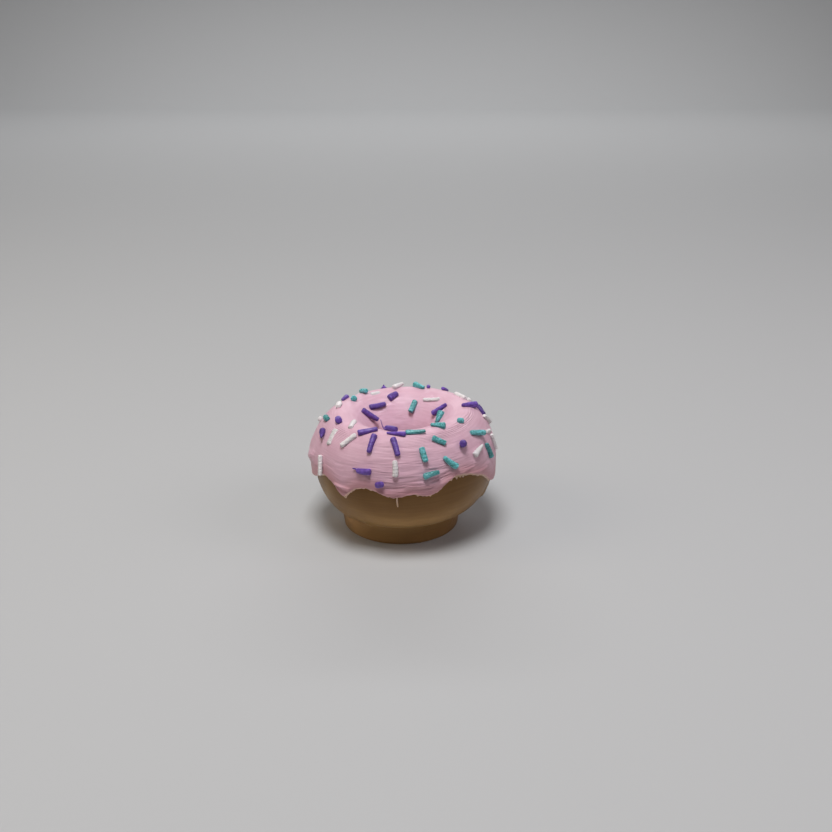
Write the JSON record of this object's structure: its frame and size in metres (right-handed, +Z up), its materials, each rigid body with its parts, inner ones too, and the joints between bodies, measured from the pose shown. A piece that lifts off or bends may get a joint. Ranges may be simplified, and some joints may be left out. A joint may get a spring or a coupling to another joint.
{
  "type": "toy sprinkle frosted doughnut",
  "caption": "Toy ring doughnut on a short round foot, with pink icing dripping down its side and small rod sprinkles.",
  "frame": {"origin": "on the surface that the foot stands on, below the middle of the ring", "axes": "+Z up through the hole, -Y towards the side with the pointed drip and the hanging thread, +X to its right"},
  "size_m": [0.0552, 0.0565, 0.037],
  "materials": {
    "dough": "satin brown printed plastic, smooth",
    "icing": "satin pink printed plastic with fine layer lines",
    "sprinkles_purple": "satin violet printed plastic",
    "sprinkles_teal": "satin teal printed plastic",
    "sprinkles_white": "satin white printed plastic"
  },
  "bodies": {
    "root": {"dough": "dough", "icing": "icing"}
  },
  "joints": []
}
